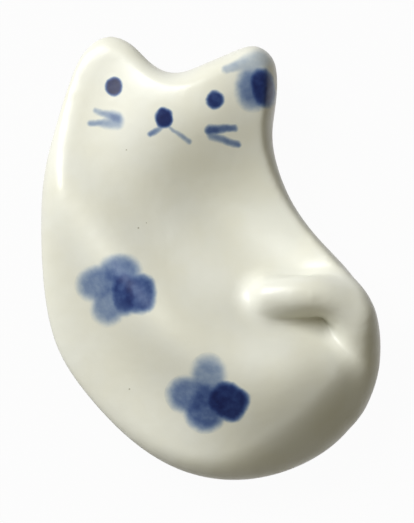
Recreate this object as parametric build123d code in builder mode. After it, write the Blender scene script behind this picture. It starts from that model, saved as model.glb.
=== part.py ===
from build123d import *
from math import cos, exp, hypot, radians, sin
import os

os.makedirs("parts", exist_ok=True)

# A small porcelain cat that lies on a flat foot and serves as a chopstick rest.
# +Y runs from the rump to the ears, +Z is up, and the foot stands on Z = 0.
# Places on the cat are shares of its half width and half length; sizes are millimetres.

# ---- Overall sizes ----
overall_width = 42.0
overall_length = 55.0
slab_height = 7.4          # top of the clay before its swells and dip are added
widest_height = 4.3        # height of the widest line above the foot

# ---- Body edge and foot ----
foot_tuck = 2.6            # how far the foot stands in from the widest line
flank_turn = 62            # degrees that the lower flank turns through
foot_rim = 3.4             # width of the bare rim that the cat stands on, towards the hub
recess_depth = 1.2
recess_lean = 0.9          # how far the wall of the recess leans in for each mm of depth
roll_head = 2.6            # radii of the rounded top edge, by stretch of the outline
roll_brow = 3.3
roll_waist = 1.6
roll_hip = 4.6
roll_haunch = 7.0
roll_rump = 6.5
roll_back = 5.5

# Outline at the widest line, clockwise from the middle of the crown: (x, y, edge roll)
outline = [
    (-0.05, 0.838, roll_head), (0.16, 0.815, roll_head), (0.32, 0.755, roll_head),
    (0.385, 0.62, roll_waist), (0.40, 0.45, roll_waist), (0.47, 0.28, roll_waist),
    (0.62, 0.12, roll_waist), (0.80, -0.045, roll_head), (0.945, -0.21, roll_hip),
    (1.0, -0.40, roll_haunch), (0.955, -0.60, roll_haunch), (0.79, -0.80, roll_haunch),
    (0.53, -0.94, roll_rump), (0.20, -1.0, roll_rump), (-0.13, -0.965, roll_rump),
    (-0.43, -0.835, roll_rump), (-0.70, -0.625, roll_back), (-0.885, -0.40, roll_back),
    (-0.972, -0.15, roll_back), (-0.993, 0.12, roll_back), (-0.95, 0.42, roll_back),
    (-0.87, 0.66, roll_hip), (-0.71, 0.805, roll_brow), (-0.42, 0.84, roll_brow),
]
hub = (-0.05, -0.055)      # the rings of the top close in on this point

# Swells of the top: (x, y, rise, spread along, spread across, direction in degrees)
head_rise = 4.4
back_rise = 3.5
haunch_rise = 4.9
saddle_dip = 2.3
waist_rise = 1.4
belly_rise = 1.4
swells = [
    (-0.09, 0.635, head_rise, 10.3, 6.1, 40),
    (-0.46, -0.14, back_rise, 14.3, 3.5, 126),
    (0.15, -0.41, haunch_rise, 10.3, 5.0, -36),
    (0.01, 0.30, -saddle_dip, 11.0, 3.4, -42),
    (0.75, 0.03, waist_rise, 8.6, 2.0, 95),
    (0.31, -0.67, belly_rise, 8.2, 4.8, 20),
]

# ---- Ears: (x, y) of root and tip as shares, then sizes ----
ear_left_root = (-0.545, 0.75)
ear_left_tip = (-0.59, 1.0)
ear_left_heights = (0.50, 0.70)    # of the ear's middle at root and tip, as shares of slab_height
ear_right_root = (0.12, 0.71)
ear_right_tip = (0.295, 0.957)
ear_right_heights = (0.905, 0.973)
ear_lift = 0.2             # least gap under an ear, for thin slabs or thick ears
ear_half_width = 6.3       # at the root
ear_half_thickness = 2.9
ear_taper = 0.5            # share of its width that an ear loses before the tip rounds off
ear_seat = 2.2             # how far the root reaches into the head

# ---- Tail: a rolled coil that rises from the rump and lies over the haunch ----
tail_root_width = 4.9
tail_tip_width = 4.3
tail_route = [             # (x, y) as shares, height of the coil's centre above the slab's top
    (0.76, -0.60, -3.0), (0.855, -0.49, -2.0), (0.888, -0.38, -0.8), (0.865, -0.275, 0.4),
    (0.79, -0.19, 1.5), (0.66, -0.147, 2.1), (0.51, -0.140, 2.4), (0.36, -0.160, 2.7),
]

# ---- Painted marks: places as shares, sizes in mm ----
paint_thickness = 0.12
eye_width = 1.9
eye_left_place = (-0.557, 0.770)
eye_right_place = (0.038, 0.709)
nose_width = 1.9
nose_length = 2.2
nose_place = (-0.262, 0.629)
# Brush strokes of the face: name, start, radius there, end, radius there
strokes = [
    ("mouth_left", (-0.262, 0.575), 0.24, (-0.352, 0.553), 0.27),
    ("mouth_right", (-0.222, 0.578), 0.18, (-0.105, 0.516), 0.24),
    ("whisker_left_upper", (-0.530, 0.625), 0.42, (-0.686, 0.662), 0.20),
    ("whisker_left_lower", (-0.530, 0.604), 0.30, (-0.714, 0.607), 0.18),
    ("whisker_right_upper", (0.005, 0.571), 0.48, (0.167, 0.587), 0.22),
    ("whisker_right_lower", (0.005, 0.541), 0.30, (0.190, 0.505), 0.20),
]
# Dabs of the three spots: name, place, length, width, direction; each is cut by those above it
spots = [
    [
        ("ear_patch_dark", (0.324, 0.778), 4.3, 2.7, 90),
        ("ear_patch_wash", (0.250, 0.767), 3.5, 2.5, 90),
        ("ear_patch_streak", (0.200, 0.885), 6.4, 2.8, 22),
    ],
    [
        ("back_spot_dark", (-0.475, -0.158), 5.0, 3.2, 90),
        ("back_spot_right", (-0.410, -0.164), 3.7, 3.7, 0),
        ("back_spot_top", (-0.514, -0.022), 3.2, 3.0, 0),
        ("back_spot_left", (-0.690, -0.113), 3.5, 3.5, 0),
        ("back_spot_bottom", (-0.595, -0.240), 3.1, 3.0, 0),
    ],
    [
        ("rump_spot_dark", (0.119, -0.629), 5.2, 4.7, -20),
        ("rump_spot_top", (0.005, -0.520), 4.0, 4.0, 0),
        ("rump_spot_left", (-0.145, -0.604), 3.7, 3.7, 0),
        ("rump_spot_bottom", (0.005, -0.698), 4.0, 4.0, 0),
    ],
]
paint_floor = 0.8          # all paint on the body lies above this share of slab_height

half_width = overall_width / 2
half_length = overall_length / 2
clear_height = 3 * slab_height   # above everything on the cat


def place(x_share, y_share):
    return x_share * half_width, y_share * half_length


def top_height(x, y):
    # The slab with the swells and the dip that are pressed into it.
    height = slab_height
    for x_share, y_share, rise, along, across, direction in swells:
        x_mid, y_mid = place(x_share, y_share)
        c, s = cos(radians(direction)), sin(radians(direction))
        u = (x - x_mid) * c + (y - y_mid) * s
        v = (y - y_mid) * c - (x - x_mid) * s
        height += rise * exp(-((u / along) ** 2 + (v / across) ** 2) / 2)
    return height


def inset(index, distance):
    # A point of the outline moved square to the outline, towards the inside.
    x, y = place(*outline[index][:2])
    x_before, y_before = place(*outline[index - 1][:2])
    x_after, y_after = place(*outline[(index + 1) % len(outline)][:2])
    run_x, run_y = x_after - x_before, y_after - y_before
    run = hypot(run_x, run_y)
    return x + run_y / run * distance, y - run_x / run * distance


def flank_ring(share):
    # Share 1 is the foot and share 0 the widest line.
    turn = radians(flank_turn)
    step = foot_tuck * (1 - cos(turn * share)) / (1 - cos(turn))
    height = widest_height * (1 - sin(turn * share) / sin(turn))
    return [(*inset(i, step), height) for i in range(len(outline))]


def roll_ring(share, grow):
    # Share 0 is the widest line and share 1 the inner end of the edge roll.
    turn = radians(90 * share)
    points = []
    for i, (_, _, roll) in enumerate(outline):
        x, y = inset(i, roll * (1 - cos(turn)) - grow * cos(turn))
        rise = top_height(x, y) + grow - widest_height
        points.append((x, y, widest_height + rise * sin(turn)))
    return points


def top_ring(share, grow):
    # From the inner end of the edge roll towards the hub.
    x_hub, y_hub = place(*hub)
    points = []
    for i, (_, _, roll) in enumerate(outline):
        x, y = inset(i, roll)
        x, y = x + (x_hub - x) * share, y + (y_hub - y) * share
        points.append((x, y, top_height(x, y) + grow))
    return points


def recess_ring(distance):
    # The foot ring moved a distance towards the hub.
    x_hub, y_hub = place(*hub)
    points = []
    for i in range(len(outline)):
        x, y = inset(i, foot_tuck)
        share = distance / hypot(x_hub - x, y_hub - y)
        points.append((x + (x_hub - x) * share, y + (y_hub - y) * share))
    return points


def ring_wire(points, stops):
    # Every ring gets the same stops, so that the patches between them line up.
    vectors = [Vector(*p) for p in points]
    return Wire([Edge.make_spline(vectors, periodic=True, parameters=stops)])


def ring_stops(points):
    stops = [0.0]
    for here, ahead in zip(points, points[1:] + points[:1]):
        stops.append(stops[-1] + hypot(ahead[0] - here[0], ahead[1] - here[1]))
    return [stop / stops[-1] for stop in stops]


def body_form(grow=0.0):
    # A wall lofted through the rings, a small filled crown and a flat foot, sewn into one solid.
    rings = [flank_ring(share) for share in (1, 0.9, 0.75, 0.5, 0.25)]
    rings += [roll_ring(share, grow) for share in (0, 0.2, 0.4, 0.6, 0.8, 1)]
    rings += [top_ring(share, grow) for share in (0.12, 0.26, 0.42, 0.58, 0.74, 0.88)]
    stops = ring_stops(roll_ring(0, grow))
    wires = [ring_wire(points, stops) for points in rings]
    x_hub, y_hub = place(*hub)
    crest = top_ring(0.94, grow)[::4] + [(x_hub, y_hub, top_height(x_hub, y_hub) + grow)]
    wall = Solid.make_loft(wires).faces()[0]
    crown = Face.make_surface(wires[-1], surface_points=crest)
    return Solid(Shell([wall, crown, Face(wires[0])]))


def coil_form(route, half_widths, half_heights):
    # A loft through ovals square to a route of 3-D points, flat at its seated end.
    ovals = []
    for i, centre in enumerate(route):
        before, after = route[max(i - 1, 0)], route[min(i + 1, len(route) - 1)]
        ahead = (Vector(*after) - Vector(*before)).normalized()
        down = Vector(0, 0, 1).cross(ahead).cross(ahead)   # the loft's seam runs along the underside
        with BuildSketch(Plane(origin=centre, x_dir=down, z_dir=ahead)) as oval:
            Ellipse(half_heights[i], half_widths[i])
        ovals.append(oval.sketch.faces()[0].outer_wire())
    return Solid.make_loft(ovals)


def ear_form(root, tip, heights, grow=0.0):
    # A flattened cone with a rounded tip; its first station is the seat inside the head.
    x_root, y_root = place(*root)
    x_tip, y_tip = place(*tip)
    length = hypot(x_tip - x_root, y_tip - y_root)
    route, half_widths, half_heights = [], [], []
    for share in (-ear_seat / length, 0, 0.2, 0.4, 0.6, 0.75, 0.87, 0.95, 0.99):
        x = x_root + (x_tip - x_root) * share
        y = y_root + (y_tip - y_root) * share
        size = (1 - ear_taper * abs(share)) * (1 - abs(share) ** 3) ** 0.5
        z = slab_height * (heights[0] + (heights[1] - heights[0]) * share)
        z = max(z, ear_half_thickness * size + ear_lift)
        route.append((x, y, z))
        half_widths.append(ear_half_width * size + grow)
        half_heights.append(ear_half_thickness * size + grow)
    return coil_form(route, half_widths, half_heights)


def tail_form():
    # A round coil along its route, a little thinner towards its rounded tip.
    route = [(*place(x, y), slab_height + rise) for x, y, rise in tail_route]
    shares = [i / (len(route) - 1) for i in range(len(route))]
    radii = [(tail_root_width + (tail_tip_width - tail_root_width) * s) / 2 for s in shares]
    end = Vector(*route[-1])
    ahead = (end - Vector(*route[-2])).normalized()
    for turn in (30, 55, 74, 86):
        route.append(tuple(end + ahead * tail_tip_width / 2 * sin(radians(turn))))
        radii.append(tail_tip_width / 2 * cos(radians(turn)))
    return coil_form(route, radii, radii)


# ---- Body: the pressed slab, with a shallow recess inside its foot rim ----
with BuildPart() as body:
    add(body_form())
    for depth in (0, recess_depth):
        with BuildSketch(Plane.XY.offset(depth)):
            with BuildLine():
                Spline(*recess_ring(foot_rim + depth * recess_lean), periodic=True)
            make_face()
    loft(mode=Mode.SUBTRACT)
body.part.label = "body"

# ---- Ears and tail: each is shaped on its own and pressed onto the body ----
with BuildPart() as ear_left:
    add(ear_form(ear_left_root, ear_left_tip, ear_left_heights))
    add(body.part, mode=Mode.SUBTRACT)
ear_left.part.label = "ear_left"

with BuildPart() as ear_right:
    add(ear_form(ear_right_root, ear_right_tip, ear_right_heights))
    add(body.part, mode=Mode.SUBTRACT)
ear_right.part.label = "ear_right"

with BuildPart() as tail:
    add(tail_form())
    add(body.part, mode=Mode.SUBTRACT)
tail.part.label = "tail"

# ---- Painted marks: thin deposits that follow the clay under them ----
body_coat = body_form(paint_thickness)
ear_coat = ear_form(ear_right_root, ear_right_tip, ear_right_heights, paint_thickness)


def dab_outline(spot, length, width, direction=0):
    with Locations(place(*spot)):
        Ellipse(length / 2, width / 2, rotation=direction)


def stroke_outline(start, start_radius, end, end_radius):
    with Locations(place(*start)):
        Circle(start_radius)
    with Locations(place(*end)):
        Circle(end_radius)
    make_hull()


def lay_paint(label, draw, sizes, coat, clay, earlier=(), floor=slab_height * paint_floor):
    # The part of the coat above an outline, clear of the clay and of the paint laid before.
    with BuildPart() as mark:
        with BuildSketch(Plane.XY.offset(floor)):
            draw(*sizes)
        extrude(amount=clear_height)
        add(coat, mode=Mode.INTERSECT)
        for under in (*clay, *earlier):
            add(under.part, mode=Mode.SUBTRACT)
    mark.part.label = label
    return mark


marks = []
for label, spot, length in (
    ("eye_left", eye_left_place, eye_width),
    ("eye_right", eye_right_place, eye_width),
    ("nose", nose_place, nose_length),
):
    width = nose_width if label == "nose" else eye_width
    marks.append(lay_paint(label, dab_outline, (spot, width, length), body_coat, [body]))
nose = marks[-1]
for label, *sizes in strokes:
    marks.append(lay_paint(label, stroke_outline, sizes, body_coat, [body], [nose]))
for spot in spots:
    on_ear = spot[0][0].startswith("ear")
    coat = body_coat + ear_coat if on_ear else body_coat
    clay = [body, ear_right] if on_ear else [body]
    floor = slab_height * (ear_right_heights[0] if on_ear else paint_floor)
    if on_ear:
        floor += paint_thickness
    laid = []
    for label, *sizes in spot:
        laid.append(lay_paint(label, dab_outline, sizes, coat, clay, laid, floor))
    marks += laid

# ---- Export: the whole cat is centred over the origin and stands on Z = 0 ----
pieces = [body, ear_left, ear_right, tail] + marks
box = Compound([piece.part for piece in pieces]).bounding_box()
centring = Location((-box.center().X, -box.center().Y, 0))
for piece in pieces:
    piece.part.move(centring)
    export_step(piece.part, f"parts/{piece.part.label}.step")
    print(piece.part.label, len(piece.part.solids()), round(piece.part.volume, 3))
print("box", box, "moved by", centring.position)
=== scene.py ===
import bmesh
import bpy
import numpy as np
from math import cos, pi, radians, sin
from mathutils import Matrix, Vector
from mathutils.bvhtree import BVHTree


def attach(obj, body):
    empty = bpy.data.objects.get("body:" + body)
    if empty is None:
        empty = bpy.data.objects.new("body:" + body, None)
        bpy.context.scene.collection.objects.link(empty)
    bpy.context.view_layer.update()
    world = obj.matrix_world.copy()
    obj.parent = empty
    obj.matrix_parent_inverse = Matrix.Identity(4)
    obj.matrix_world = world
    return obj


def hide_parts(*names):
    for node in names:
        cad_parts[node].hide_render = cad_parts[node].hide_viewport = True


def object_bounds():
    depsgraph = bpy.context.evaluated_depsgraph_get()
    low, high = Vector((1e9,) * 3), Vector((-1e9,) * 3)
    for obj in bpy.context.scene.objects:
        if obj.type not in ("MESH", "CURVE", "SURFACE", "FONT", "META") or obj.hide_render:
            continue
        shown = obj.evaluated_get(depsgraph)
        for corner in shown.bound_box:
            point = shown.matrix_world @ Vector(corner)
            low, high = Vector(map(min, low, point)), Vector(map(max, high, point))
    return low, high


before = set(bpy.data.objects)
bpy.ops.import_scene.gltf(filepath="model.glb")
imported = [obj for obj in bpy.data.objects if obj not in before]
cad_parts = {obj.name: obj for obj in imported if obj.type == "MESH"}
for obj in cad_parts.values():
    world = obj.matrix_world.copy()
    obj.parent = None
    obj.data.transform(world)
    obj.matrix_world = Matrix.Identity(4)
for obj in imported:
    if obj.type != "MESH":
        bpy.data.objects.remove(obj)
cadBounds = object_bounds()
mm = 0.001
batch = 3000     # points that are measured at a time, to save memory
halfWidth = (cadBounds[1].x - cadBounds[0].x) / 2 / mm
halfLength = (cadBounds[1].y - cadBounds[0].y) / 2 / mm
midX = (cadBounds[1].x + cadBounds[0].x) / 2 / mm
midY = (cadBounds[1].y + cadBounds[0].y) / 2 / mm


def planPlace(shareX, shareY):
    # a place in plan in mm, from shares of the whole cat's half width and half length
    return np.array((midX + shareX * halfWidth, midY + shareY * halfLength))


def newPiece(name, bm):
    mesh = bpy.data.meshes.new(name)
    bm.to_mesh(mesh)
    bm.free()
    piece = bpy.data.objects.new(name, mesh)
    bpy.context.scene.collection.objects.link(piece)
    return piece


def meshPoints(mesh):
    points = np.zeros(len(mesh.vertices) * 3)
    mesh.vertices.foreach_get("co", points)
    return points.reshape(-1, 3)


def splineThrough(rows, count, closed, fineSteps=4000):
    # smooth curve through the rows, sampled evenly along its length
    rows = np.array(rows, float)
    if closed:
        rows = np.vstack([rows, rows[:1]])
    gaps = np.linalg.norm(np.diff(rows[:, :2], axis=0), axis=1)
    n = len(rows)
    bend = np.zeros((n, n))
    pull = np.zeros_like(rows)
    for i in range(n):
        if closed or 0 < i < n - 1:
            back, ahead = gaps[(i - 1) % (n - 1)], gaps[i % (n - 1)]
            last, following = rows[(i - 1) % (n - 1)], rows[i % (n - 1) + 1]
            bend[i, (i - 1) % (n - 1)] += back
            bend[i, i] += 2 * (back + ahead)
            bend[i, i % (n - 1) + 1] += ahead
            pull[i] = 6 * ((following - rows[i]) / ahead - (rows[i] - last) / back)
        else:
            bend[i, i] = 1
    bends = np.linalg.solve(bend, pull)
    stops = np.concatenate([[0], np.cumsum(gaps)])
    fine = np.linspace(0, stops[-1], fineSteps)
    i = np.clip(np.searchsorted(stops, fine, "right") - 1, 0, n - 2)
    gap = gaps[i][:, None]
    a = (stops[i + 1] - fine)[:, None] / gap
    b = 1 - a
    curve = a * rows[i] + b * rows[i + 1]
    curve += ((a ** 3 - a) * bends[i] + (b ** 3 - b) * bends[i + 1]) * gap ** 2 / 6
    run = np.concatenate([[0], np.cumsum(np.linalg.norm(np.diff(curve[:, :3], axis=0), axis=1))])
    even = np.linspace(0, run[-1], count, endpoint=not closed)
    return np.stack([np.interp(even, run, curve[:, c]) for c in range(rows.shape[1])], 1)


# the clay of the body, with both ears pressed from the same slab
clay = {
    "slabHeight": 7.4,       # mm, top of the slab before its swells
    "hub": (-0.05, -0.055),  # the grid of the top closes in on this point
    "rollPower": 2.3,        # above 2 the rolled edge runs softer into the top
    "flankTurn": 62,         # degrees that the flank turns through from the widest line to the foot
    "footRim": 3.2,          # mm, width of the rim it stands on
    "recessDepth": 1.2,      # mm, inside the foot rim
    "recessLean": 0.9,       # mm sideways for each mm that the recess's wall rises
    "ballMesh": (480, 220),  # segments and rings of the ball that is pressed into shape
    "outlineSteps": 900,     # points on the smooth outline
    "stationStep": 15,       # outline points from one place where the edge is read to the next
    "stationBlend": 1.5,     # square mm, how widely those places run into each other
    "voxel": 0.25,           # mm, size of the skin's faces
    "meltRounds": 7,         # how often the glazed surface is eased
    # x and y as shares of the half sizes, edge roll, foot tuck and height of the widest line in mm
    "outline": [
        (-0.229, 0.837, 2.2, 2.8, 6.0), (-0.026, 0.877, 2.2, 3.0, 6.0),
        (0.139, 0.930, 2.2, 4.6, 6.2), (0.275, 0.956, 2.1, 6.0, 6.2),
        (0.372, 0.907, 2.2, 5.4, 5.8), (0.405, 0.802, 2.0, 3.8, 5.0),
        (0.393, 0.675, 1.9, 2.8, 4.6), (0.377, 0.556, 1.7, 2.6, 4.3),
        (0.409, 0.410, 1.5, 2.6, 4.3), (0.508, 0.235, 1.3, 2.6, 4.3),
        (0.667, 0.075, 0.9, 2.6, 4.3), (0.844, -0.072, 0.8, 2.6, 4.3),
        (0.968, -0.238, 0.9, 2.6, 4.3), (1.001, -0.412, 4.6, 2.6, 4.3),
        (0.953, -0.611, 6.6, 2.6, 4.3), (0.798, -0.804, 7.2, 2.6, 4.3),
        (0.524, -0.944, 6.6, 2.6, 4.3), (0.191, -1.003, 4.2, 2.6, 4.8),
        (-0.162, -0.960, 2.6, 2.6, 5.4), (-0.463, -0.821, 2.2, 2.8, 6.2),
        (-0.710, -0.628, 2.4, 3.0, 6.6), (-0.891, -0.418, 3.4, 3.0, 6.6),
        (-0.971, -0.182, 4.2, 3.0, 6.6), (-0.995, 0.110, 3.4, 3.0, 6.8),
        (-0.973, 0.385, 2.8, 3.0, 7.6), (-0.897, 0.620, 2.6, 3.2, 7.6),
        (-0.810, 0.826, 2.8, 4.2, 7.0), (-0.723, 0.945, 2.6, 5.4, 6.6),
        (-0.590, 1.000, 2.6, 6.0, 6.0), (-0.446, 0.955, 2.4, 5.0, 6.0),
        (-0.340, 0.877, 2.2, 3.6, 6.0),
    ],
    # x, y, rise in mm, spread along, spread across, direction in degrees
    "swells": [
        (-0.11, 0.650, 4.1, 10.5, 6.3, 40),
        (-0.46, -0.14, 3.5, 14.3, 3.5, 126),
        (0.15, -0.41, 4.9, 10.3, 5.0, -36),
        (0.01, 0.30, -2.3, 11.0, 3.4, -42),
        (0.75, 0.03, 0.3, 8.6, 2.0, 95),
        (0.31, -0.67, 1.4, 8.2, 4.8, 20),
        (0.97, -0.30, 3.0, 4.0, 2.6, -78),
        (0.58, -0.15, 0.8, 5.5, 3.0, -4),
        (0.50, -0.30, -1.8, 5.5, 2.4, -8),
        (0.56, -0.43, 1.3, 4.5, 3.2, -40),
        (0.775, -0.36, -1.6, 3.8, 1.1, -58),
        (-0.95, 0.40, 0.4, 9.5, 2.8, 84),
    ],
}


def topHeight(x, y):
    height = np.full_like(x, clay["slabHeight"])
    for shareX, shareY, rise, along, across, direction in clay["swells"]:
        midPoint = planPlace(shareX, shareY)
        c, s = cos(radians(direction)), sin(radians(direction))
        u = (x - midPoint[0]) * c + (y - midPoint[1]) * s
        v = (y - midPoint[1]) * c - (x - midPoint[0]) * s
        height += rise * np.exp(-((u / along) ** 2 + (v / across) ** 2) / 2)
    return height


def edgeDistance(plan, loop):
    # distance of each plan point from the outline's short straight runs
    nearest = np.full(len(plan), 1e9)
    runs = np.roll(loop, -1, 0) - loop
    spans = (runs ** 2).sum(1)
    for first in range(0, len(plan), batch):
        here = plan[first:first + batch, None] - loop[None]
        along = np.clip((here * runs).sum(2) / spans, 0, 1)[:, :, None]
        nearest[first:first + batch] = np.sqrt((((here - along * runs) ** 2).sum(2)).min(1))
    return nearest


def pressBody():
    # a ball whose upper half takes the top's form and whose lower half the flank, foot and recess
    controls = [(*planPlace(x, y), *rest) for x, y, *rest in clay["outline"]]
    outline = splineThrough(controls, clay["outlineSteps"], True)
    bm = bmesh.new()
    segments, rings = clay["ballMesh"]
    bmesh.ops.create_uvsphere(bm, u_segments=segments, v_segments=rings, radius=1)
    body = newPiece("bodyForm", bm)
    ball = meshPoints(body.data)
    turn = np.arctan2(ball[:, 1], ball[:, 0]) / (2 * pi) % 1 * len(outline)
    share = np.hypot(ball[:, 0], ball[:, 1])
    order = np.arange(len(outline) + 1)
    around = np.vstack([outline[:1], outline[:0:-1], outline[:1]])   # counter-clockwise
    rim = np.stack([np.interp(turn, order, around[:, c]) for c in range(2)], 1)
    hub = planPlace(*clay["hub"])
    plan = hub + (rim - hub) * share[:, None]
    distance = edgeDistance(plan, outline[::2, :2])
    stations = outline[::clay["stationStep"]]
    weight = 1 / (((plan[:, None] - stations[None, :, :2]) ** 2).sum(2) + clay["stationBlend"]) ** 2
    weight /= weight.sum(1)[:, None]
    roll, tuck, widest = (weight @ stations[:, 2:]).T
    rise = np.clip(distance / roll, 0, 1)
    rise = np.sqrt(1 - (1 - rise) ** clay["rollPower"])
    high = widest + (topHeight(*plan.T) - widest) * rise
    flankTurn = radians(clay["flankTurn"])
    fall = np.arccos(1 - np.clip(distance / tuck, 0, 1) * (1 - cos(flankTurn)))
    low = widest * (1 - np.sin(fall) / sin(flankTurn))
    inside = distance - tuck - clay["footRim"]
    low += np.clip(inside / clay["recessLean"], 0, clay["recessDepth"])
    height = np.where(ball[:, 2] > 1e-6, high, low)
    body.data.vertices.foreach_set("co", (np.column_stack([plan, height]) * mm).ravel())
    return body


# the tail, a coil laid over the haunch
coil = {
    # x and y as shares of the half sizes, height of the middle, radius
    "route": [
        (0.80, -0.62, 3.6, 2.2), (0.862, -0.50, 4.6, 2.15), (0.877, -0.38, 6.2, 2.1),
        (0.858, -0.285, 7.8, 2.2), (0.78, -0.208, 8.9, 2.35), (0.66, -0.170, 9.6, 2.35),
        (0.51, -0.165, 9.8, 2.3), (0.365, -0.168, 9.3, 2.15),
    ],
    "capRun": 2.0,           # mm of the route that each round end takes up
    "ballMesh": (64, 120),   # segments and rings of the ball that is drawn out
    "routeSteps": 260,       # points on the smooth route
    "outerBlend": 2.7,       # mm, how widely the joint is filled on the outer side of the bend
    "innerBlend": 3.2,       # mm, the same towards the haunch
    "blendTurn": 0.6,        # mm across the coil over which one fill turns into the other
    "blendReach": 5,         # mm from the coil that the fill can change
    "blendFloor": 2.5,       # mm above the table, under which it can't
    "settleRounds": 6,       # how often the skin is drawn towards the filled form
    "settleShare": 0.8,      # share of the way that each round goes
    "wipeGaps": (1.5, 4.5),  # mm from coil and body within which the joint is wiped
    "wipeRounds": 14,        # how often it is wiped
}


def rollTail():
    # a ball drawn out along the route, with round ends
    controls = [(*planPlace(x, y), z, radius) for x, y, z, radius in coil["route"]]
    route = splineThrough(controls, coil["routeSteps"], False)
    bm = bmesh.new()
    segments, rings = coil["ballMesh"]
    bmesh.ops.create_uvsphere(bm, u_segments=segments, v_segments=rings, radius=1)
    tail = newPiece("tailForm", bm)
    ball = meshPoints(tail.data)
    ahead = np.gradient(route[:, :3], axis=0)
    ahead /= np.linalg.norm(ahead, axis=1)[:, None]
    side = np.cross(ahead, (0, 0, 1))
    side /= np.linalg.norm(side, axis=1)[:, None]
    above = np.cross(side, ahead)
    reach = np.linalg.norm(np.diff(route[:, :3], axis=0), axis=1).sum()
    capRun = coil["capRun"]
    run = np.arccos(np.clip(-ball[:, 2], -1, 1)) / pi * (reach + 2 * capRun) - capRun
    at = np.clip(run / reach, 0, 1) * (len(route) - 1)
    order = np.arange(len(route))

    def along(rows):
        return np.stack([np.interp(at, order, rows[:, c]) for c in range(rows.shape[1])], 1)

    past = run - np.clip(run, 0, reach)
    middle, radius = along(route[:, :3]), along(route[:, 3:])
    girth = np.sqrt(np.clip(1 - (past / capRun) ** 2, 0, 1))[:, None] * radius
    flat = ball[:, :2] / np.maximum(np.hypot(ball[:, 0], ball[:, 1]), 1e-9)[:, None]
    points = middle + along(ahead) * past[:, None] * radius / capRun
    points += (along(side) * flat[:, :1] + along(above) * flat[:, 1:]) * girth
    tail.data.vertices.foreach_set("co", (points * mm).ravel())
    return tail, route


def meltTogether(body, tail, route):
    # one glazed skin over body and tail, with the joint filled as glaze and slip fill it
    touching, shortest = 0.05, 0.3    # mm from the body, and the least length of a mixed direction
    bm = bmesh.new()
    bm.from_mesh(body.data)
    bodyTree = BVHTree.FromBMesh(bm)
    bm.from_mesh(tail.data)
    bmesh.ops.recalc_face_normals(bm, faces=bm.faces)
    skin = newPiece("glazedClay", bm)
    remesh = skin.modifiers.new("remesh", "REMESH")
    remesh.mode = "VOXEL"
    remesh.voxel_size = clay["voxel"] * mm
    bpy.context.view_layer.update()
    remeshed = skin.evaluated_get(bpy.context.evaluated_depsgraph_get())
    melted = bpy.data.meshes.new_from_object(remeshed)
    skin.modifiers.clear()
    skin.data = melted
    points = meshPoints(melted) / mm
    centres, radii = route[:, :3], route[:, 3]
    tailGap = np.zeros(len(points))
    tailWay = np.zeros_like(points)

    def toTail(chosen):
        for first in range(0, len(chosen), batch):
            some = chosen[first:first + batch]
            apart = points[some][:, None] - centres[None]
            length = np.linalg.norm(apart, axis=2)
            nearest = (length - radii).argmin(1)
            row = np.arange(len(some))
            tailGap[some] = (length - radii)[row, nearest]
            away = np.maximum(length[row, nearest], 1e-6)
            tailWay[some] = apart[row, nearest] / away[:, None]

    toTail(np.arange(len(points)))
    nearTail = (tailGap < coil["blendReach"]) & (points[:, 2] > coil["blendFloor"])
    for i in np.nonzero(~nearTail)[0]:
        points[i] = np.array(bodyTree.find_nearest(Vector(points[i] * mm))[0]) / mm
    chosen = np.nonzero(nearTail)[0]
    for step in range(coil["settleRounds"]):
        toTail(chosen)
        bodyGap = np.zeros(len(chosen))
        bodyWay = np.zeros((len(chosen), 3))
        for row, i in enumerate(chosen):
            spot, normal, face, gap = bodyTree.find_nearest(Vector(points[i] * mm))
            away = np.array(Vector(points[i] * mm) - spot) / mm
            side = 1 if away @ np.array(normal) > 0 else -1
            bodyGap[row] = side * gap / mm
            bodyWay[row] = np.array(normal) if gap / mm < touching else away / (gap / mm) * side
        # the two sides of the bend are filled by different amounts
        nearest = ((points[chosen][:, None, :2] - route[None, ::4, :2]) ** 2).sum(2).argmin(1) * 4
        heading = np.gradient(route[:, :2], axis=0)[nearest]
        off = points[chosen][:, :2] - route[nearest, :2]
        outer = heading[:, 1] * off[:, 0] - heading[:, 0] * off[:, 1]
        outer = outer / np.linalg.norm(heading, axis=1)
        blend = coil["innerBlend"] + (coil["outerBlend"] - coil["innerBlend"]) / (
            1 + np.exp(-outer / coil["blendTurn"]))
        mix = np.clip(0.5 + 0.5 * (tailGap[chosen] - bodyGap) / blend, 0, 1)
        gap = tailGap[chosen] * (1 - mix) + bodyGap * mix - blend * mix * (1 - mix)
        way = tailWay[chosen] * (1 - mix)[:, None] + bodyWay * mix[:, None]
        way /= np.maximum(np.linalg.norm(way, axis=1), shortest)[:, None]
        points[chosen] -= way * gap[:, None] * coil["settleShare"]
    melted.vertices.foreach_set("co", (points * mm).ravel())
    bm = bmesh.new()
    bm.from_mesh(melted)
    bm.verts.ensure_lookup_table()
    coilGap, clayGap = coil["wipeGaps"]
    joint = [bm.verts[i] for i in chosen[(tailGap[chosen] < coilGap) & (bodyGap < clayGap)]]
    for verts, rounds in ((bm.verts, clay["meltRounds"]), (joint, coil["wipeRounds"])):
        for step in range(rounds):
            bmesh.ops.smooth_vert(bm, verts=verts, factor=0.5,
                                  use_axis_x=True, use_axis_y=True, use_axis_z=True)
    bmesh.ops.recalc_face_normals(bm, faces=bm.faces)
    bm.to_mesh(melted)
    bm.free()
    return skin


body = pressBody()
print("body pressed:", len(body.data.vertices))
tail, route = rollTail()
print("tail rolled")
skin = meltTogether(body, tail, route)
for form in (body, tail):
    bpy.data.objects.remove(form)
skin.data.shade_smooth()
print("skin:", len(skin.data.polygons), "faces")


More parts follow.
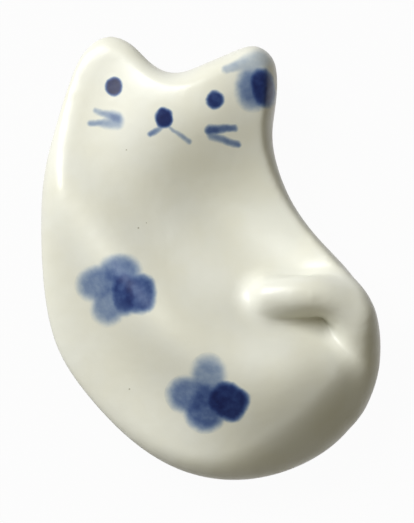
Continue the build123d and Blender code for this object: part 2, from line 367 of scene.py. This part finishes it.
def newGroup(name, inputs, outputs):
    group = bpy.data.node_groups.new(name, "ShaderNodeTree")
    for label, kind, *value in inputs:
        socket = group.interface.new_socket(label, in_out="INPUT", socket_type="NodeSocket" + kind)
        if value:
            socket.default_value = value[0]
    for label, kind in outputs:
        group.interface.new_socket(label, in_out="OUTPUT", socket_type="NodeSocket" + kind)
    return group


def addNode(tree, kind, links=(), **settings):
    # links gives what feeds each input, by number or name: a socket or a plain value
    node = tree.nodes.new("ShaderNode" + kind)
    for name, value in settings.items():
        setattr(node, name, value)
    for name, feed in dict(links).items():
        if isinstance(feed, bpy.types.NodeSocket):
            tree.links.new(feed, node.inputs[name])
        else:
            node.inputs[name].default_value = feed
    return node


def mathNode(tree, operation, *feeds, clamp=False):
    return addNode(tree, "Math", enumerate(feeds), operation=operation, use_clamp=clamp).outputs[0]


def vectorMath(tree, operation, *feeds):
    node = addNode(tree, "VectorMath", enumerate(feeds), operation=operation)
    return node.outputs["Value" if operation in ("LENGTH", "DOT_PRODUCT") else "Vector"]


def ramp(tree, value, start, end, low=0.0, high=1.0):
    links = {"Value": value, "From Min": start, "From Max": end, "To Min": low, "To Max": high}
    return addNode(tree, "MapRange", links, interpolation_type="SMOOTHSTEP").outputs[0]


def noise(tree, point, scale, detail=2.0, output=0):
    links = {"Vector": point, "Scale": scale, "Detail": detail}
    return addNode(tree, "TexNoise", links).outputs[output]


# the clear glaze over cream clay, shared by the bare skin and by the painted marks
glaze = {
    "thinColour": (0.80, 0.80, 0.745),
    "thickColour": (0.785, 0.775, 0.69),
    "cloudScale": 140.0,       # of the drift between thin and thick glaze
    "roughness": 0.40,
    "roughnessDrift": (-0.04, 0.07),
    "driftScale": 420.0,
    "coat": 0.10,
    "coatRoughness": 0.10,
    "rippleHeight": 0.035,     # mm, of the orange peel
    "rippleScale": 520.0,
    "grainScale": 3200.0,      # of the fine grain on the ripples
    "grainShare": 0.12,
    "speckColour": (0.42, 0.40, 0.33),
    "footColour": (0.70, 0.62, 0.50),
    "footRoughness": 0.85,
    "footLine": 0.28,          # mm above the table where the glaze was wiped off
    "footRagged": 0.3,         # mm that this line wanders up and down
    "footEdge": 0.05,          # mm, half the width of its soft edge
    # iron specks and pinholes: x and y as shares of the half sizes, radius in mm
    "specks": [
        (-0.417, 0.135, 0.16), (-0.37, 0.158, 0.10), (-0.471, -0.59, 0.15), (-0.488, 0.486, 0.13),
    ],
}


def glazeGroup():
    gives = [("Colour", "Color"), ("Roughness", "Float"), ("Height", "Float")]
    group = newGroup("glazeOverClay", [], gives)
    give = group.nodes.new("NodeGroupOutput")
    point = addNode(group, "TexCoord").outputs["Object"]
    cloud = noise(group, point, glaze["cloudScale"], 3.0)
    tint = addNode(group, "Mix", {0: ramp(group, cloud, 0.3, 0.7)}, data_type="RGBA")
    tint.inputs[6].default_value = (*glaze["thinColour"], 1)
    tint.inputs[7].default_value = (*glaze["thickColour"], 1)
    colour = tint.outputs[2]
    plan = vectorMath(group, "MULTIPLY", point, (1000, 1000, 0))
    for shareX, shareY, radius in glaze["specks"]:
        centre = (*planPlace(shareX, shareY), 0)
        away = vectorMath(group, "LENGTH", vectorMath(group, "SUBTRACT", plan, centre))
        spot = ramp(group, away, radius, radius * 0.3)
        dot = addNode(group, "Mix", {0: spot, 6: colour}, data_type="RGBA")
        dot.inputs[7].default_value = (*glaze["speckColour"], 1)
        colour = dot.outputs[2]
    group.links.new(colour, give.inputs["Colour"])
    drift = noise(group, point, glaze["driftScale"], 3.0)
    glossiest, dullest = (glaze["roughness"] + change for change in glaze["roughnessDrift"])
    dull = ramp(group, drift, 0.3, 0.75, glossiest, dullest)
    group.links.new(dull, give.inputs["Roughness"])
    peel = noise(group, point, glaze["rippleScale"], 1.0)
    grain = noise(group, point, glaze["grainScale"], 1.0)
    height = mathNode(group, "MULTIPLY_ADD", grain, glaze["grainShare"], peel)
    group.links.new(height, give.inputs["Height"])
    return group


def brushDab():
    # one touch of a full brush: soft outside, a little darker where the wash pooled at its rim
    takes = [
        ("Point", "Vector"), ("Place", "Vector"), ("Turn", "Float"), ("Half Size", "Vector", (1, 1, 1)),
        ("Squareness", "Float", 2.0), ("Softness", "Float", 0.15), ("Density", "Float", 1.0),
        ("Pool", "Float", 0.2),
    ]
    group = newGroup("brushDab", takes, [("Density", "Float")])
    take, give = group.nodes.new("NodeGroupInput"), group.nodes.new("NodeGroupOutput")
    away = vectorMath(group, "SUBTRACT", take.outputs["Point"], take.outputs["Place"])
    back = mathNode(group, "MULTIPLY", take.outputs["Turn"], -1.0)
    turned = addNode(group, "VectorRotate", {"Vector": away, "Angle": back}, rotation_type="Z_AXIS")
    sized = vectorMath(group, "DIVIDE", turned.outputs[0], take.outputs["Half Size"])
    parts = addNode(group, "SeparateXYZ", {0: vectorMath(group, "ABSOLUTE", sized)})
    power = take.outputs["Squareness"]
    total = mathNode(group, "ADD", mathNode(group, "POWER", parts.outputs[0], power),
                 mathNode(group, "POWER", parts.outputs[1], power))
    out = mathNode(group, "POWER", total, mathNode(group, "DIVIDE", 1.0, power))
    outer = mathNode(group, "ADD", 1.0, take.outputs["Softness"])
    inner = mathNode(group, "SUBTRACT", 1.0, take.outputs["Softness"])
    cover = ramp(group, out, outer, inner)
    pooled = ramp(group, out, *cobalt["poolBand"])
    rim = mathNode(group, "MULTIPLY_ADD", pooled, take.outputs["Pool"], 1.0)
    even = mathNode(group, "MULTIPLY", cover, rim)
    laid = mathNode(group, "MULTIPLY", even, take.outputs["Density"])
    group.links.new(laid, give.inputs[0])
    return group


def brushStroke():
    # a short line of a fine brush, between two round ends
    takes = [
        ("Point", "Vector"), ("Start", "Vector"), ("Finish", "Vector"), ("Start Radius", "Float", 0.3),
        ("Finish Radius", "Float", 0.2), ("Softness", "Float", 0.4), ("Start Density", "Float", 1.0),
        ("Finish Density", "Float", 0.6),
    ]
    group = newGroup("brushStroke", takes, [("Density", "Float")])
    take, give = group.nodes.new("NodeGroupInput"), group.nodes.new("NodeGroupOutput")
    away = vectorMath(group, "SUBTRACT", take.outputs["Point"], take.outputs["Start"])
    run = vectorMath(group, "SUBTRACT", take.outputs["Finish"], take.outputs["Start"])
    share = mathNode(group, "DIVIDE", vectorMath(group, "DOT_PRODUCT", away, run),
                 vectorMath(group, "DOT_PRODUCT", run, run), clamp=True)
    scaled = addNode(group, "VectorMath", {0: run, "Scale": share}, operation="SCALE").outputs[0]
    off = vectorMath(group, "LENGTH", vectorMath(group, "SUBTRACT", away, scaled))
    radii = take.outputs["Start Radius"], take.outputs["Finish Radius"]
    radius = ramp(group, share, 0.0, 1.0, *radii)
    outer = mathNode(group, "ADD", 1.0, take.outputs["Softness"])
    inner = mathNode(group, "SUBTRACT", 1.0, take.outputs["Softness"])
    cover = ramp(group, mathNode(group, "DIVIDE", off, radius), outer, inner)
    densities = take.outputs["Start Density"], take.outputs["Finish Density"]
    density = ramp(group, share, 0.0, 1.0, *densities)
    group.links.new(mathNode(group, "MULTIPLY", cover, density), give.inputs[0])
    return group


def cobaltGroup():
    # the deeper the cobalt lies, the more of the red and green it swallows
    takes = [("Glaze", "Color"), ("Density", "Float")]
    group = newGroup("cobaltUnderGlaze", takes, [("Colour", "Color")])
    take, give = group.nodes.new("NodeGroupInput"), group.nodes.new("NodeGroupOutput")
    bands = [mathNode(group, "POWER", passed, take.outputs["Density"]) for passed in cobalt["passes"]]
    filtered = addNode(group, "CombineColor", enumerate(bands))
    mixed = addNode(group, "Mix", {0: 1.0, 6: take.outputs["Glaze"], 7: filtered.outputs[0]},
                    data_type="RGBA", blend_type="MULTIPLY")
    group.links.new(mixed.outputs[2], give.inputs[0])
    return group


# the painted marks; places are shares of the half sizes, sizes are mm, turns are degrees
cobalt = {
    "passes": (0.071, 0.128, 0.360),   # red, green and blue that get through one unit of density
    "wander": 0.16,                    # mm, how far a wet edge strays
    "wanderScale": 900.0,
    "washDrift": (0.86, 1.14),         # how unevenly a wash dries
    "washScale": 1100.0,
    "poolBand": (0.45, 0.9),           # where a wash starts and stops to pool, as shares of its size
    "margin": 1.1,                     # mm of plain glaze that each mark's piece keeps round it
    "tuckBand": 0.3,                   # share of a mark's reach over which its rim dips into the skin
    "lift": 0.012,                     # mm that a mark stands proud, and 0.3 of it that its rim dips
    "depth": 0.25,                     # mm, thickness of the flake below
    "lowest": 3,                       # mm above the table, under which nothing is painted
    # place, half length, half width, turn, squareness, softness, density, pool
    "dabs": {
        "eye_left": ((-0.562, 0.771), 1.02, 0.94, 90, 2.2, 0.32, 2.30, 0.0),
        "eye_right": ((0.036, 0.709), 1.03, 0.98, 60, 2.2, 0.30, 1.50, 0.0),
        "nose": ((-0.267, 0.629), 1.18, 0.98, 95, 2.0, 0.30, 1.85, 0.0),
        "ear_patch_dark": ((0.318, 0.765), 2.15, 1.34, 101, 2.4, 0.30, 1.55, 0.0),
        "ear_patch_wash": ((0.258, 0.762), 2.25, 1.75, 90, 2.3, 0.46, 0.68, 0.0),
        "back_spot_dark": ((-0.505, -0.158), 2.40, 1.32, 95, 2.3, 0.34, 1.15, 0.0),
        "back_spot_right": ((-0.412, -0.160), 2.15, 1.85, 90, 2.4, 0.30, 1.02, 0.12),
        "back_spot_top": ((-0.525, -0.064), 2.18, 1.85, 0, 2.2, 0.42, 0.66, 0.0),
        "back_spot_left": ((-0.645, -0.112), 2.42, 1.82, 14, 2.3, 0.42, 0.56, 0.08),
        "back_spot_bottom": ((-0.585, -0.202), 2.36, 1.82, 70, 2.3, 0.40, 0.53, 0.08),
        "rump_spot_dark": ((0.112, -0.642), 2.25, 2.00, -28, 3.0, 0.24, 1.65, 0.0),
        "rump_spot_top": ((-0.005, -0.545), 2.65, 1.88, 90, 2.2, 0.42, 0.49, 0.0),
        "rump_spot_left": ((-0.104, -0.618), 2.60, 1.95, -10, 2.3, 0.40, 0.69, 0.08),
        "rump_spot_bottom": ((-0.010, -0.672), 2.62, 2.22, 60, 2.4, 0.34, 0.86, 0.08),
    },
    # start, radius there, end, radius there, softness, density at both
    "strokes": {
        "mouth_left": ((-0.275, 0.588), 0.24, (-0.348, 0.556), 0.28, 0.90, 0.40, 0.66),
        "mouth_right": ((-0.240, 0.590), 0.18, (-0.117, 0.524), 0.26, 0.95, 0.30, 0.42),
        "whisker_left_upper": ((-0.540, 0.630), 0.52, (-0.670, 0.661), 0.28, 0.90, 0.68, 0.30),
        "whisker_left_lower": ((-0.540, 0.606), 0.56, (-0.700, 0.606), 0.30, 0.90, 0.38, 0.46),
        "whisker_right_upper": ((0.006, 0.574), 0.48, (0.150, 0.584), 0.34, 0.75, 1.02, 0.66),
        "whisker_right_lower": ((0.012, 0.549), 0.36, (0.172, 0.509), 0.30, 0.90, 0.52, 0.62),
        "ear_patch_streak": ((0.100, 0.848), 0.45, (0.310, 0.893), 1.15, 0.60, 0.26, 0.20),
    },
}
paints = {
    "facePaint": ["eye_left", "eye_right", "nose", "mouth_left", "mouth_right", "whisker_left_upper",
                  "whisker_left_lower", "whisker_right_upper", "whisker_right_lower"],
    "earPaint": ["ear_patch_dark", "ear_patch_wash", "ear_patch_streak"],
    "backPaint": ["back_spot_dark", "back_spot_right", "back_spot_top", "back_spot_left",
                  "back_spot_bottom"],
    "rumpPaint": ["rump_spot_dark", "rump_spot_top", "rump_spot_left", "rump_spot_bottom"],
}


def newMaterial(name):
    # a shader with the glaze's gloss and ripples, which each material then colours
    material = bpy.data.materials.new(name)
    material.use_nodes = True
    tree = material.node_tree
    shader = tree.nodes["Principled BSDF"]
    shader.inputs["Coat Weight"].default_value = glaze["coat"]
    shader.inputs["Coat Roughness"].default_value = glaze["coatRoughness"]
    clear = tree.nodes.new("ShaderNodeGroup")
    clear.node_tree = glazeOverClay
    ripple = {"Height": clear.outputs["Height"], "Distance": glaze["rippleHeight"] * mm}
    bump = addNode(tree, "Bump", ripple)
    tree.links.new(bump.outputs[0], shader.inputs["Normal"])
    return material, tree, shader, clear


def skinMaterial():
    material, tree, shader, clear = newMaterial("creamGlaze")
    point = addNode(tree, "TexCoord").outputs["Object"]
    parts = addNode(tree, "SeparateXYZ", {0: point})
    ragged = mathNode(tree, "MULTIPLY_ADD", noise(tree, point, 900.0), glaze["footRagged"] * mm,
                      parts.outputs["Z"])
    line, edge = glaze["footLine"], glaze["footEdge"]
    bare = ramp(tree, ragged, (line + edge) * mm, (line - edge) * mm)
    colour = addNode(tree, "Mix", {0: bare, 6: clear.outputs["Colour"]}, data_type="RGBA")
    colour.inputs[7].default_value = (*glaze["footColour"], 1)
    tree.links.new(colour.outputs[2], shader.inputs["Base Color"])
    dull = addNode(tree, "Mix", {0: bare, 2: clear.outputs["Roughness"], 3: glaze["footRoughness"]})
    tree.links.new(dull.outputs[0], shader.inputs["Roughness"])
    return material


def paintMaterial(name, marks):
    material, tree, shader, clear = newMaterial(name)
    point = addNode(tree, "TexCoord").outputs["Object"]
    plan = vectorMath(tree, "MULTIPLY", point, (1000, 1000, 0))
    swirl = noise(tree, point, cobalt["wanderScale"], 2.0, "Color")
    stray = vectorMath(tree, "SUBTRACT", swirl, (0.5, 0.5, 0.5))
    farthest = cobalt["wander"] * 2.5    # the noise stays within about 0.4 either way
    wet = vectorMath(tree, "MULTIPLY_ADD", stray, (farthest, farthest, 0), plan)
    total = 0.0
    for mark in marks:
        node = tree.nodes.new("ShaderNodeGroup")
        if mark in cobalt["dabs"]:
            place, length, width, turn, squareness, softness, density, pool = cobalt["dabs"][mark]
            node.node_tree = dabGroup
            values = {"Place": (*planPlace(*place), 0), "Turn": radians(turn),
                      "Half Size": (length, width, 1), "Squareness": squareness,
                      "Softness": softness, "Density": density, "Pool": pool}
        else:
            start, radius, end, endRadius, softness, density, endDensity = cobalt["strokes"][mark]
            node.node_tree = strokeGroup
            values = {"Start": (*planPlace(*start), 0), "Finish": (*planPlace(*end), 0),
                      "Start Radius": radius, "Finish Radius": endRadius, "Softness": softness,
                      "Start Density": density, "Finish Density": endDensity}
        tree.links.new(wet, node.inputs["Point"])
        for label, value in values.items():
            node.inputs[label].default_value = value
        laid = node.outputs[0]
        total = mathNode(tree, "MULTIPLY_ADD", laid, laid, total)   # layers add up as squares
    uneven = noise(tree, point, cobalt["washScale"], 4.0)
    wash = ramp(tree, uneven, 0.25, 0.75, *cobalt["washDrift"])
    blue = tree.nodes.new("ShaderNodeGroup")
    blue.node_tree = cobaltBlue
    tree.links.new(clear.outputs["Colour"], blue.inputs["Glaze"])
    density = mathNode(tree, "MULTIPLY", mathNode(tree, "SQRT", total), wash)
    tree.links.new(density, blue.inputs["Density"])
    tree.links.new(blue.outputs[0], shader.inputs["Base Color"])
    tree.links.new(clear.outputs["Roughness"], shader.inputs["Roughness"])
    return material


glazeOverClay = glazeGroup()
dabGroup = brushDab()
strokeGroup = brushStroke()
cobaltBlue = cobaltGroup()
skin.data.materials.clear()
skin.data.materials.append(skinMaterial())
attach(skin, "root")
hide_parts("body", "ear_left", "ear_right", "tail")
print("glaze ready")


def markReach(mark, plan):
    # 0 at a mark's middle and 1 at the outer edge of its margin
    margin = cobalt["margin"]
    if mark in cobalt["dabs"]:
        place, length, width, turn = cobalt["dabs"][mark][:4]
        away = plan - planPlace(*place)
        c, s = cos(radians(turn)), sin(radians(turn))
        along, across = away @ (c, s), away @ (-s, c)
        return np.hypot(along / (length + margin), across / (width + margin))
    start, radius, end, endRadius = cobalt["strokes"][mark][:4]
    start, end = planPlace(*start), planPlace(*end)
    share = np.clip((plan - start) @ (end - start) / ((end - start) @ (end - start)), 0, 1)
    off = np.linalg.norm(plan - start - share[:, None] * (end - start), axis=1)
    return off / (radius + (endRadius - radius) * share + margin)


def peelMarks():
    # each mark is a thin closed flake taken from the skin, just proud of it
    marks = [mark for group in paints.values() for mark in group]
    bm = bmesh.new()
    bm.from_mesh(skin.data)
    middles = np.array([face.calc_center_median() for face in bm.faces]) / mm
    upward = np.array([face.normal.z for face in bm.faces])
    reach = np.array([markReach(mark, middles[:, :2]) for mark in marks])
    painted = (reach.min(0) < 1) & (upward > 0) & (middles[:, 2] > cobalt["lowest"])
    owner = np.where(painted, reach.argmin(0), -1)
    ownerLayer = bm.faces.layers.int.new("owner")
    normalLayer = bm.verts.layers.float_vector.new("skinNormal")
    for face, number in zip(bm.faces, owner):
        face[ownerLayer] = int(number)
    plain = [face for face in bm.faces if face[ownerLayer] < 0]
    bmesh.ops.delete(bm, geom=plain, context="FACES")
    spots = np.array([vert.co for vert in bm.verts]) / mm
    near = np.array([markReach(mark, spots[:, :2]) for mark in marks]).min(0)
    ease = np.clip((1 - near) / cobalt["tuckBand"], 0, 1)
    lift = cobalt["lift"] * (1.3 * ease * ease * (3 - 2 * ease) - 0.3)
    for vert, rise in zip(bm.verts, lift):
        vert[normalLayer] = vert.normal
        vert.co += vert.normal * rise * mm
    pieces = []
    for number, mark in enumerate(marks):
        own = bm.copy()
        ownLayer = own.faces.layers.int["owner"]
        others = [face for face in own.faces if face[ownLayer] != number]
        bmesh.ops.delete(own, geom=others, context="FACES")
        layer = own.verts.layers.float_vector["skinNormal"]
        lower = bmesh.ops.extrude_face_region(own, geom=list(own.faces), use_keep_orig=True)["geom"]
        for vert in [item for item in lower if isinstance(item, bmesh.types.BMVert)]:
            vert.co -= Vector(vert[layer]) * cobalt["depth"] * mm
            vert[layer] = (0, 0, 0)
        bmesh.ops.recalc_face_normals(own, faces=own.faces)
        normals = [Vector(vert[layer]) for vert in own.verts]
        name = "paint" + "".join(word.capitalize() for word in mark.split("_"))
        piece = newPiece(name, own)
        piece.data.shade_smooth()
        piece.data.normals_split_custom_set_from_vertices(normals)
        pieces.append((mark, piece))
    bm.free()
    return pieces


materials = {name: paintMaterial(name, marks) for name, marks in paints.items()}
for mark, piece in peelMarks():
    group = next(name for name, marks in paints.items() if mark in marks)
    piece.data.materials.append(materials[group])
    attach(piece, "root")
    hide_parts(mark)
print("marks painted")

# the studio: floor, lamp, air and camera
studio = {
    "keyAzimuth": 137, "keyElevation": 43,   # degrees
    "keyDistance": 0.7, "keySize": 0.42,     # m
    "keyPower": 5.65,                        # W
    "keyColour": (0.985, 1.0, 0.985),
    "worldColour": (1, 0.90, 0.55), "worldStrength": 0.145,
    "floorSize": 0.6,                        # m, half of it
    "floorColour": 0.35,                     # under the lamp
    "floorRoughness": 0.9, "floorSpecular": 0.1,
    "floorWhite": 0.965,                     # share of plain white that the camera sees
    "frameWidth": 51.3,                      # mm across the view, at frameHeight
    "frameMiddle": (-0.25, -0.43),           # mm in plan
    "frameHeight": 0.008,                    # m above the floor
    "cameraHeight": 0.8,                     # m above frameHeight
    "filmWidth": 36,                         # mm
}
bm = bmesh.new()
bmesh.ops.create_grid(bm, x_segments=4, y_segments=4, size=studio["floorSize"])
floor = newPiece("paleFloor", bm)
floorMaterial = bpy.data.materials.new("paleFloor")
floorMaterial.use_nodes = True
nodes, links = floorMaterial.node_tree.nodes, floorMaterial.node_tree.links
paper = nodes["Principled BSDF"]
paper.inputs["Base Color"].default_value = (studio["floorColour"],) * 3 + (1,)
paper.inputs["Roughness"].default_value = studio["floorRoughness"]
paper.inputs["Specular IOR Level"].default_value = studio["floorSpecular"]
glow = nodes.new("ShaderNodeEmission")
glow.inputs["Color"].default_value = (1, 1, 1, 1)
rays = nodes.new("ShaderNodeLightPath")
seen = rays.outputs["Is Camera Ray"]
for ray in ("Is Glossy Ray", "Is Transmission Ray"):
    seen = mathNode(floorMaterial.node_tree, "MAXIMUM", seen, rays.outputs[ray])
seen = mathNode(floorMaterial.node_tree, "MULTIPLY", seen, studio["floorWhite"])
mixing = nodes.new("ShaderNodeMixShader")
links.new(seen, mixing.inputs[0])
links.new(paper.outputs[0], mixing.inputs[1])
links.new(glow.outputs[0], mixing.inputs[2])
links.new(mixing.outputs[0], nodes["Material Output"].inputs["Surface"])
floor.data.materials.append(floorMaterial)

lamp = bpy.data.lights.new("softKey", "AREA")
lamp.shape = "DISK"
lamp.size = studio["keySize"]
lamp.energy = studio["keyPower"]
lamp.color = studio["keyColour"]
key = bpy.data.objects.new("softKey", lamp)
bpy.context.scene.collection.objects.link(key)
turn, lift = radians(studio["keyAzimuth"]), radians(studio["keyElevation"])
towardsKey = Vector((cos(turn) * cos(lift), sin(turn) * cos(lift), sin(lift)))
key.location = towardsKey * studio["keyDistance"]
key.rotation_euler = key.location.to_track_quat("Z", "Y").to_euler()

world = bpy.data.worlds.new("studioAir")
world.use_nodes = True
air = world.node_tree.nodes["Background"]
air.inputs["Color"].default_value = (*studio["worldColour"], 1)
air.inputs["Strength"].default_value = studio["worldStrength"]
bpy.context.scene.world = world

lens = bpy.data.cameras.new("overhead")
lens.sensor_fit = "HORIZONTAL"
lens.sensor_width = studio["filmWidth"]
lens.lens = studio["filmWidth"] * studio["cameraHeight"] / (studio["frameWidth"] * mm)
lens.clip_start = 0.01
camera = bpy.data.objects.new("overhead", lens)
bpy.context.scene.collection.objects.link(camera)
middleX, middleY = studio["frameMiddle"]
camera.location = (middleX * mm, middleY * mm, studio["cameraHeight"] + studio["frameHeight"])
bpy.context.scene.camera = camera
bpy.context.scene.view_settings.view_transform = "Standard"
print("studio set")
